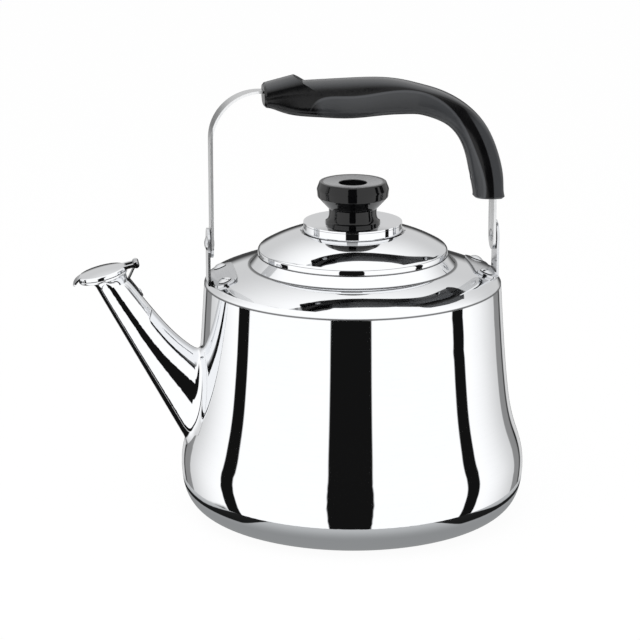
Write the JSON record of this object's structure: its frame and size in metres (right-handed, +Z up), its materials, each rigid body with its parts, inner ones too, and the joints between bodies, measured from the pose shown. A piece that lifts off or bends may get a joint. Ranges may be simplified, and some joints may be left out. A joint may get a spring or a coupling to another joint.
{
  "type": "stovetop whistling kettle",
  "caption": "Round polished steel stovetop kettle with a domed lid and knob, a straight tapering spout with a hinged whistle cap, and a folding bail handle with a black moulded grip.",
  "frame": {"origin": "centre of the base cover's flat underside, on the kettle's axis", "axes": "+Z up along the kettle's axis; the spout points to -X and the bail handle spans from -X to +X"},
  "size_m": [0.287, 0.22, 0.2823],
  "materials": {
    "polished_steel": "mirror-polished stainless steel",
    "black_moulding": "glossy black heat-resistant moulding",
    "heat_disc": "plain aluminium"
  },
  "bodies": {
    "kettle": {"pot_wall": "polished_steel", "spout": "polished_steel", "base_cover": "polished_steel", "heat_disc": "heat_disc", "shoulder_dome": "polished_steel", "rear_lug": "polished_steel", "front_lug": "polished_steel", "rear_lug_rivets": "polished_steel", "front_lug_rivets": "polished_steel", "rear_pivot_rivet": "polished_steel", "front_pivot_rivet": "polished_steel", "rear_pivot_washer": "polished_steel", "front_pivot_washer": "polished_steel", "cap_hinge_pin": "polished_steel", "spout_hinge_leaf": "polished_steel"},
    "handle": {"front_strap": "polished_steel", "rear_strap": "polished_steel", "handle_grip": "black_moulding", "grip_screws": "polished_steel"},
    "lid": {"lid_shell": "polished_steel", "lid_skirt": "polished_steel", "knob_disc": "polished_steel", "knob": "black_moulding", "knob_screw": "polished_steel", "knob_washer": "polished_steel", "knob_nut": "polished_steel"},
    "cap": {"spout_cap": "polished_steel", "whistle_cup": "polished_steel", "whistle_plate": "polished_steel"}
  },
  "joints": [
    {"name": "handle_fold", "type": "hinge", "parent": "kettle", "child": "handle", "pos_m": [0, 0, 0.1765], "axis": [1, 0, 0], "range_deg": [-90, 90]},
    {"name": "lid_lift", "type": "slide", "parent": "kettle", "child": "lid", "axis": [0, 0, 1], "range_m": [0, 0.03]},
    {"name": "cap_open", "type": "hinge", "parent": "kettle", "child": "cap", "pos_m": [-0.13742, 0, 0.16519], "axis": [0, 1, 0], "range_deg": [0, 110]}
  ]
}
